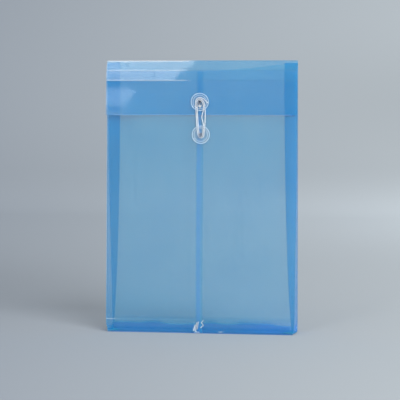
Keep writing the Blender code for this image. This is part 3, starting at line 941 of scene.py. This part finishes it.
def back_film():
    """Back and rear base flap in one sheet: up from the flap's edge, round the soft fold, up to the top.

    Its rows follow a level line, an arc and a leaning line. The back bows out by a squared sine of the
    height. It is denser near the base, as folded layers and painted shade, and in the flap's painted shadow,
    shaded above the base on the left with painted shade, and bluer at the base on the right.
    """
    turn = np.linspace(-math.pi / 2, LEAN, ROUND_ROWS)
    floor_y = np.linspace(REAR_FLAP_END, REAR_CENTRE_Y, FLOOR_ROWS)[:-1]
    round_y = REAR_CENTRE_Y + REAR_RADIUS * np.cos(turn)
    round_z = REAR_CENTRE_Z + REAR_RADIUS * np.sin(turn)
    wall_y = np.linspace(round_y[-1], TOP_FOLD[1], WALL_ROWS)[1:]
    wall_z = np.linspace(round_z[-1], TOP_FOLD[2], WALL_ROWS)[1:]
    y = np.concatenate([floor_y, round_y, wall_y])[:, None]
    z = np.concatenate([np.full_like(floor_y, REAR_FLAP_Z), round_z, wall_z])[:, None]
    half = np.minimum(HALF, HALF - (REAR_CENTRE_Y - y) * (z < REAR_FLAP_Z + LEVEL))
    x = half * np.linspace(1, -1, BACK_COLUMNS)[None, :]
    wall = np.clip((z - round_z[-1]) / (TOP_FOLD[2] - round_z[-1]), 0, 1)
    swell = np.sin(math.pi * np.clip(wall / SWELL_TOP, 0, 1)) ** 2
    rise = (BOW * swell + BACK_UNEVEN * ripple(x, z) * np.sin(math.pi * wall)) * (1 - (x / HALF) ** 2)
    depth = base_depth(x, z) * (1 - CORNER_FADE * smooth_step((x - CORNER_START) / CORNER_WIDTH))
    depth = depth + SHADOW_DEPTH * bell(z - SHADOW_AT, SHADOW_REACH)
    shade = BASE_SHADING * smooth_step((SHADE_END - x) / SHADE_WIDTH) * bell(z - SHADE_AT, SHADE_REACH)
    royal = smooth_step((x - ROYAL_START) / ROYAL_WIDTH) * smooth_step((ROYAL_TOP - z) / ROYAL_FADE)
    obj = shell("back_film", joined(x, y + rise, z), "back", depth=depth, rich=royal, shade=shade)
    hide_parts("back_panel", "base_rear_flap")


def gusset(side, hand):
    """A side gusset: in each level section a V from the back edge to the centre crease to the front edge.

    The crease lies as far in as leaves each half its flat width. Across the V, v runs from -1 to 1, and the
    square root of v squared plus a little rounds the crease.
    """
    v = np.concatenate([-HALF_LINES[::-1], CREASE_LINES, HALF_LINES])
    t = np.linspace(0, 1, GUSSET_ROWS) ** GUSSET_SPREAD
    v, t = np.meshgrid(v[::-1] if hand > 0 else v, t)
    top = (GUSSET_TOP_REAR * (1 - v) + GUSSET_TOP_FRONT * (1 + v)) / 2
    z = GUSSET_LOW + t * (top - GUSSET_LOW)
    bend = (np.sqrt(v**2 + GUSSET_ROUND**2) - GUSSET_ROUND) / (math.hypot(1, GUSSET_ROUND) - GUSSET_ROUND)
    front, rear = front_outer(z) + nipped(z) + GUSSET_EDGE, back_outer(z) - GUSSET_EDGE
    inset = np.sqrt(GUSSET_HALF**2 - (np.abs(front_outer(z)) - 2 * LAP) ** 2)
    x = hand * (HALF - inset * (1 - bend))
    y = front * (bend + v) / 2 + rear * (bend - v) / 2
    depth = GUSSET_DEPTH + GUSSET_BASE_DEPTH[hand] * base_depth(x, z)
    depth = depth + GUSSET_TOP_DEPTH * smooth_step((z - GUSSET_TOP_FROM) / GUSSET_TOP_FADE)
    shade = GUSSET_SHADING[hand] * smooth_step((GUSSET_SHADE_TOP - z) / GUSSET_SHADE_FADE)
    obj = shell(f"{side}_gusset", joined(x, y, z), None, depth=depth, rich=GUSSET_RICH, shade=shade)
    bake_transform(obj)
    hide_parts(f"{side}_gusset_front", f"{side}_gusset_rear")


def base_front_flap():
    """The front base flap on the floor: straight along the crease, mitred at both ends, a little uneven."""
    y = np.linspace(FRONT_FLAP_END, FRONT_FOOT[1], BASE_ROWS)[:, None]
    x = (HALF - (y - FRONT_FOOT[1])) * np.linspace(-1, 1, BASE_COLUMNS)[None, :]
    lift = BASE_UNEVEN * (1 + ripple(x, BASE_STRETCH * y)) * smooth_step((y - FRONT_FOOT[1]) / BASE_LIFT)
    obj = shell("base_front_film", joined(x, y, lift), "back", depth=1.0)
    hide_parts("base_front_flap")


def base_tuck(side, hand):
    """A side tuck folded in on the base: a trapezium that narrows to a blunt tip."""
    low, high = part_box(f"base_{side}_tuck")
    outside, tip = (low.x, high.x) if hand < 0 else (high.x, low.x)
    share = np.linspace(0, 1, TUCK_COLUMNS)[None, ::-hand]
    x = outside + share * (tip - outside)
    reach = (high.y - low.y) / 2 * (1 - share) + SEAM_GAP * share
    y = (low.y + high.y) / 2 - reach * np.linspace(-1, 1, TUCK_ROWS)[:, None]
    obj = shell(f"base_{side}_tuck_film", joined(x, y, low.z), "back", depth=TUCK_DEPTH)
    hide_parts(f"base_{side}_tuck")


def flap_depth(x):
    """How much denser the flap looks than one sheet, at x across: more on the right."""
    return FLAP_DEPTH + FLAP_RIGHT_DEPTH * smooth_step((x - FLAP_RIGHT_FROM) / FLAP_RIGHT_FADE)


def flap_strip(body, top, bottom, edge, density, twist, ramp):
    """A flap strip between two creases: the plane through both, a little uneven.

    Near the seam it is twisted: it slopes by the twist, times a bell curve across, one way at its top and
    the other way at its bottom. To the right it rises by the ramp, in a soft step. Its upper edge is white by
    a bell curve of the edge's width, as a crease is and as a painted highlight, and density is its share of
    the flap's own density.
    """
    up = unit(top - bottom)
    length = np.linalg.norm(top - bottom)
    x = np.linspace(-HALF, HALF, STRIP_COLUMNS)[None, :]
    t = np.linspace(0, 1, STRIP_ROWS)[:, None]
    aside = x - TWIST_AT
    rise = STRIP_UNEVEN * ripple(x, STRIP_WAVES * t) * np.sin(math.pi * t)
    rise = rise + twist * aside * bell(aside, TWIST_WIDTH) * (t - 0.5)
    rise = rise + ramp * smooth_step((x - RAMP_START) / RAMP_WIDTH)
    grid = on_plane(bottom, x, t * length, rise, up, np.cross(ACROSS, up))
    white = whitening_and_highlight(x) * bell((1 - t) * length, edge)
    obj = shell(f"{body}_film", grid, body, white, density * flap_depth(x), rich=density * FLAP_RICH)
    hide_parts(f"{body}_strip")


def corner_bell(x, s, width, at, reach):
    """A mark of the flap's lower left corner: a flat-topped bell curve across, from the left edge.

    Up to the given distance below the crease it is full, and above that it fades by a bell curve.
    """
    return bell(x + HALF, width, 4) * bell(np.maximum(s + at, 0), reach)


def flap_film():
    """The flap's hanging panel: a plane whose left corner bulges out, a little uneven away from the rivet.

    Bell curves whiten its crease and its lower edge, which is also denser, and whiten and thin the lower left
    corner. The crease's white is its own whitening and a painted highlight, the edge's white is a painted
    highlight, and the corner's white and thinner film paint the glare there.
    """
    up = np.cross(FLAP_OUT, ACROSS)
    down = float((LOWER_CREASE[2] - FLAP_END_Z) / up[2])
    hole = (UPPER_POST[0], float((UPPER_POST - LOWER_CREASE) @ up))
    ends = (-EDGE_REACH, 0.0, EDGE_GRID), (-down, EDGE_REACH - down, EDGE_GRID)
    x = lines(-HALF, HALF, FLAP_GRID, punch_window(hole[0]))
    s = lines(-down, 0.0, FLAP_ROW_GRID, *ends, punch_window(hole[1]))
    x, s, gone = punched(*np.meshgrid(x, s), hole)
    calm = np.clip(np.hypot(x - hole[0], s - hole[1]) / CALM_REACH, 0, 1) ** 2
    wave = FLAP_UNEVEN * ripple(x, FLAP_STRETCH * s) * np.sin(math.pi * np.clip(-s / down, 0, 1)) * calm
    rise = BULGE * corner_bell(x, s, BULGE_WIDTH, BULGE_AT, BULGE_REACH) + wave
    grid = on_plane(LOWER_CREASE, x, s, rise, up, FLAP_OUT)
    left = bell(x + HALF, CORNER_ACROSS, 4)
    inside = smooth_step((HALF - np.abs(x) - EDGE_PLAIN) / EDGE_FADE)
    white = whitening_and_highlight(x) * bell(s, CREASE_WIDTH) + EDGE_HIGHLIGHT * inside * bell(s + down, EDGE_HIGHLIGHT_WIDTH)
    # Painted glare on the lower left corner: whiter, and less dense, which also weakens the shadow it casts
    white = white + CORNER_GLARE * left * bell(s + down, CORNER_GLARE_REACH)
    thin = GLARE_THINNING * left * smooth_step((-s - GLARE_THINNING_AT) / GLARE_THINNING_REACH)
    depth = (flap_depth(x) + EDGE_DEPTH * bell(s + down, EDGE_DEPTH_WIDTH)) * (1 - thin)
    matt = corner_bell(x, s, HAZE_WIDTH, HAZE_AT, HAZE_REACH)
    obj = shell("flap_film", grid, "flap", white, depth, matt, FLAP_RICH, open_cells=gone)
    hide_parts("flap_panel")


def folds():
    """Beads along every crease that shows: across at the flap and the base, and up the four side edges."""
    ends = np.linspace(-HALF, HALF, FOLD_POINTS)[:, None] * ACROSS
    inward = np.array([0.0, FILM / 2, 0.0])
    fold_roll("top_fold", TOP_FOLD - np.array([0.0, 0.0, FOLD_RADIUS / 2]) + ends, "back")
    fold_roll("upper_flap_fold", UPPER_CREASE + inward + ends, "flap_upper")
    fold_roll("lower_flap_fold", LOWER_CREASE + inward + ends, "flap_middle")
    fold_roll("front_base_fold", FRONT_FOOT + ends, "back", BASE_FOLD_DEPTH)
    for side, hand in SIDES:
        x = hand * (HALF - FOLD_RADIUS / 2)
        z = np.linspace(FRONT_FOOT[2], GUSSET_TOP_FRONT, SIDE_FOLD_POINTS)
        y = front_outer(z) + nipped(z) + FOLD_RADIUS
        fade = SIDE_FOLD_LEAST + (1 - SIDE_FOLD_LEAST) * smooth_step((z - SIDE_FOLD_FROM) / SIDE_FOLD_FADE)
        fold_roll(f"{side}_front_fold", joined(x, y, z), "front", highlight_white=SIDE_FOLD_HIGHLIGHT, fade=fade)
        low = np.linspace(REAR_FLAP_Z + FOLD_RADIUS, REAR_FOLD_ROUND, REAR_FOLD_POINTS)
        z = np.append(low, GUSSET_TOP_REAR)
        fold_roll(f"{side}_rear_fold", joined(x, back_outer(z) - FOLD_RADIUS, z), "back")


# Discs, washers and rivets


def eased(corners, radius, steps=4):
    """A closed outline with each corner rounded: a parabola between points one radius along both sides."""
    corners = np.asarray(corners)
    to_last = np.roll(corners, 1, axis=0) - corners
    to_next = np.roll(corners, -1, axis=0) - corners
    sides = [np.linalg.norm(side[:, :2], axis=1) for side in (to_last, to_next)]
    reach = np.minimum(radius, 0.45 * np.minimum(*sides))
    start = corners + to_last * (reach / sides[0])[:, None]
    end = corners + to_next * (reach / sides[1])[:, None]
    t = np.linspace(0, 1, steps + 1)[None, :, None]
    curve = start[:, None] * (1 - t) ** 2 + 2 * corners[:, None] * t * (1 - t) + end[:, None] * t**2
    return curve.reshape(-1, corners.shape[1])


def turned(name, corners, radius, post, axis, material, body, slot):
    """A ring: a rounded outline of (radius, distance out from the film) spun about the post.

    Corners may carry a third value, the mark of a rim's painted highlight, which is spread along the outline
    like the others.
    """
    outline = eased(corners, radius)
    turn = np.linspace(0, 2 * math.pi, TURN_STEPS, endpoint=False)[:, None]
    up = np.cross(axis, ACROSS)
    ring = np.cos(turn)[..., None] * ACROSS + np.sin(turn)[..., None] * up
    points = post + ring * outline[None, :, :1] + axis * outline[None, :, 1:2]
    index = np.arange(points.shape[0] * points.shape[1]).reshape(points.shape[:2])
    beside, after = np.roll(index, -1, axis=0), np.roll(index, -1, axis=1)
    quads = np.stack([index, beside, np.roll(beside, -1, axis=1), after], axis=-1).reshape(-1, 4)
    marks = {"rim": np.tile(outline[:, 2], TURN_STEPS)} if outline.shape[1] > 2 else {}
    obj = finish_mesh(name, points.reshape(-1, 3), [quads], material, body, slot, **marks)
    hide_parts(name.replace("_turned", ""))


def closure(name, post, axis, layers, carrier):
    """A free disc with a raised rim and an inner ring, its hollow rivet, and the washer behind the film."""
    face = WIND_SPACE + DISC_THICK
    rim, ring, ring_in = DISC_RADIUS - RIM_WIDTH, RING_RADIUS + RING_WIDTH / 2, RING_RADIUS - RING_WIDTH / 2
    disc = [
        (HOLE_RADIUS, WIND_SPACE, 0),
        (DISC_RADIUS, WIND_SPACE, 0),
        (DISC_RADIUS, face + RIM_RAISE, 1),
        (rim + RIM_RAISE, face + RIM_RAISE, 1),
        (rim, face, 0),
        (ring + RING_RAISE, face, 0),
        (ring, face + RING_RAISE, RING_MARK),
        (ring_in, face + RING_RAISE, RING_MARK),
        (ring_in - RING_RAISE, face, 0),
        (HOLE_RADIUS, face, 0),
    ]
    turned(f"{name}_disc_turned", disc, DISC_EASE, post, axis, CLEAR_PLASTIC, f"{name}_disc", "clear_disc")

    washer_front = -layers * (FILM + CLEARANCE)
    washer_back = washer_front - WASHER_THICK
    washer = [
        (HOLE_RADIUS, washer_back),
        (WASHER_RADIUS, washer_back),
        (WASHER_RADIUS, washer_front),
        (HOLE_RADIUS, washer_front),
    ]
    turned(f"{name}_washer_turned", washer, WASHER_EASE, post, axis, CLEAR_PLASTIC, carrier, "clear_disc")

    head, tail = face + CLEARANCE, washer_back - CLEARANCE
    rivet = [
        (SHANK_BORE, tail - FLANGE_THICK / 2),
        (BORE_FLARE, tail - FLANGE_THICK),
        (FLANGE_RADIUS, tail - FLANGE_THICK),
        (FLANGE_RADIUS, tail),
        (SHANK_RADIUS, tail),
        (SHANK_RADIUS, head),
        (FLANGE_RADIUS, head),
        (FLANGE_RADIUS, head + FLANGE_THICK),
        (BORE_FLARE, head + FLANGE_THICK),
        (SHANK_BORE, head + FLANGE_THICK / 2),
    ]
    turned(f"{name}_rivet_turned", rivet, RIVET_EASE, post, axis, NICKEL, carrier, "nickel")


# The string


def arc(centre, radius, start, end, count):
    """Points on a circle, from one angle in degrees to another."""
    turn = np.radians(np.linspace(start, end, count))[:, None]
    return centre + radius * np.concatenate([np.cos(turn), np.sin(turn)], axis=1)


def run(start, end, bow, dip=0.0):
    """Points between two arcs, moved sideways by a skewed parabola and, where slack, by a bell-shaped dip."""
    t = np.linspace(0, 1, RUN_POINTS)[1:-1, None]
    skewed = t**BOW_SKEW
    side = 4 * bow * skewed * (1 - skewed) + dip * bell(t - DIP_AT, DIP_WIDTH)
    return start + t * (end - start) + side * np.array([1.0, 0.0])


def winding(span):
    """The string's route, flat, from the knot out to the tail; the lower post is at (0, 0).

    It is the lead from the knot, the tie, and twice a run, an arc round the lower post, a run and an arc
    round the upper one, each wider than the last, then the straight tail.
    """
    upper, lower = np.array([0.0, span]), np.zeros(2)
    tie = arc(upper, UPPER_TURN, TIE_START, RIGHT_LEAVES, TIE_POINTS)
    lead = tie[0] + np.linspace(TIE_LEAD, 0, LEAD_POINTS)[:-1, None] * (KNOT_AT + upper - tie[0])
    route = [lead, tie]
    bows = iter(RUN_BOWS)
    for turn, leaves, dip in ((0, RIGHT_LEAVES, DIP), (1, TAIL_LEAVES, 0.0)):
        low = arc(lower, LOWER_TURN + turn * LOWER_PITCH, -RIGHT_LEAVES, -180, TURN_POINTS)
        high = arc(upper, UPPER_TURN + (turn + 1) * UPPER_PITCH, 180, leaves, TURN_POINTS)
        route += [run(route[-1][-1], low[0], next(bows), dip), low]
        route += [run(low[-1], high[0], next(bows)), high]
    corner = route[-1][-1] + np.array([STRING, 0])
    route.append(corner + np.linspace(TAIL_SKIP, 1, TAIL_POINTS)[:, None] * (TAIL_END + upper - corner))
    return np.concatenate(route)


def evened(points, step, blur):
    """The same line with points a step apart, each the bell-weighted mean of its neighbours."""
    along = lengths_along(points)
    even = np.linspace(0, along[-1], round(along[-1] / step) + 1)
    line = np.stack([np.interp(even, along, points[:, k]) for k in range(points.shape[1])], axis=1)
    apart = np.abs(even[:, None] - even[None])
    to_end = np.minimum(even, even[-1] - even)[:, None]
    near = np.where(apart <= to_end + 1e-9, np.exp(-((apart / blur) ** 2) / 2), 0)
    return near @ line / near.sum(axis=1, keepdims=True), even


def plied(along, radius, pitch):
    """A cord's rings: the outer edge of three touching round plies, turning by the pitch along it.

    A ply's edge lies at d cos a + sqrt(r squared - d squared sin squared a) from the middle, at the angle a
    from the ply's own direction, where r is the ply's radius and d how far out it lies.
    """
    turn = np.linspace(0, 2 * math.pi, PLIES * PLY_SIDES, endpoint=False)
    third = 2 * math.pi / PLIES
    a = (turn + third / 2) % third - third / 2
    d = r = PLY_SHARE
    edge = d * np.cos(a) + np.sqrt(r**2 - (d * np.sin(a)) ** 2)
    angle = turn[None] + 2 * math.pi * along[:, None] / pitch
    size = radius[:, None] * edge[None]
    # Painted shade: how deep each side lies in the valleys between plies, from 0 to 1
    valley = np.tile((1 - edge) / (1 - edge.min()), (len(along), 1))
    return np.stack([size * np.cos(angle), size * np.sin(angle)], axis=-1), valley


def cotton(name, node, path, normals, along, radius, pitch):
    """Plied cord along a path, with a map whose U runs round it and whose V runs along it, in metres."""
    outline, valley = plied(along, radius, pitch)
    obj = sweep_tube(name, path, outline, normals, WHITE_COTTON, "flap", "white_string", valley=valley)
    sides = outline.shape[1]
    index = np.empty(len(obj.data.loops), dtype=np.int32)
    obj.data.loops.foreach_get("vertex_index", index)
    uv = np.stack([index % sides / sides, along[index // sides]], axis=-1)
    obj.data.uv_layers.new(name="along").data.foreach_set("uv", uv.astype(np.float32).ravel())
    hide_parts(node)
    return obj


def string_and_knot():
    """The wound string in the plane midway through both winding spaces, and its knot on the same plane.

    Its end is frayed: it thickens by a soft step, and its tip closes by the square root of the length left.
    """
    upper, lower = UPPER_POST + WIND_SPACE / 2 * FLAP_OUT, LOWER_POST + WIND_SPACE / 2 * FRONT_OUT
    up = unit(upper - lower)
    right = unit(np.cross(up, np.array([0.0, -1.0, 0.0])))
    out = np.cross(right, up)
    flat, along = evened(winding(float(np.linalg.norm(upper - lower))), STRING_STEP, STRING_BLUR)
    path = lower + flat[:, :1] * right + flat[:, 1:] * up
    first = np.cross(out, unit(np.gradient(path, axis=0)))
    normals = (first, np.tile(out, (len(path), 1)))
    left = along[-1] - along
    fray = 1 + FRAY * smooth_step((FRAY_AT - left) / FRAY_FADE)
    radius = STRING / 2 * fray * np.sqrt(np.clip(left / TIP_LENGTH, TIP_LEAST, 1))
    string = cotton("string", "string_winding", path, normals, along, radius, PLY_PITCH)

    knot = knot_piece(upper + KNOT_AT[0] * right + KNOT_AT[1] * up, right, up, out)
    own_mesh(string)


def knot_piece(middle, right, up, out):
    """The knot that ties the string to its post, in the same plied cord, closed on itself.

    It is a trefoil: sin t + 2 sin 2t across, cos t - 2 cos 2t up and - sin 3t out.
    """
    t = np.linspace(0, 2 * math.pi, KNOT_POINTS)
    loops = joined(np.sin(t) + 2 * np.sin(2 * t), np.cos(t) - 2 * np.cos(2 * t), -np.sin(3 * t)) * KNOT_SIZE
    path = middle + loops @ np.stack([right, up, out])
    tangent = unit(np.gradient(path, axis=0))
    first = unit(np.cross(out, tangent))
    normals = (first, np.cross(tangent, first))
    along = lengths_along(path)
    radius = np.full(len(path), KNOT_RADIUS)
    return cotton("knot", "string_knot", path, normals, along, radius, along[-1] / KNOT_TWISTS)


def build():
    camera()
    string_and_knot()
    back_film()
    front_half("front_film_left", -HALF, SEAM_RIGHT, 1)
    front_half("front_film_right", SEAM_LEFT, HALF, 0)
    base_front_flap()
    for side, hand in SIDES:
        gusset(side, hand)
        base_tuck(side, hand)
    folds()
    flap_strip("flap_upper", TOP_FOLD, UPPER_CREASE, **UPPER_STRIP)
    flap_strip("flap_middle", UPPER_CREASE, LOWER_CREASE, **MIDDLE_STRIP)
    flap_film()
    closure("upper", UPPER_POST, FLAP_OUT, 1, "flap")
    closure("lower", LOWER_POST, FRONT_OUT, 2, "front")


def light():
    """A wide key light from the upper right, a softbox for the flap's left part, and an even sky."""
    stage_sweep()
    key_light(azimuth=math.radians(38), elevation=math.radians(36), spread=math.radians(35), strength=2.4)
    softbox(right_edge=-0.265, elevation=math.radians(35), distance=1.5, size=(0.3, 1.6), radiance=3.4)
    scene = bpy.context.scene
    scene.world = bpy.data.worlds.new("studio")
    scene.world.use_nodes = True
    sky = scene.world.node_tree.nodes["Background"].inputs
    sky["Color"].default_value = (1.0, 1.0, 1.0, 1.0)
    sky["Strength"].default_value = SKY_STRENGTH
    scene.view_settings.view_transform = "Standard"
    scene.cycles.transparent_max_bounces = FILM_BOUNCES


build()
light()
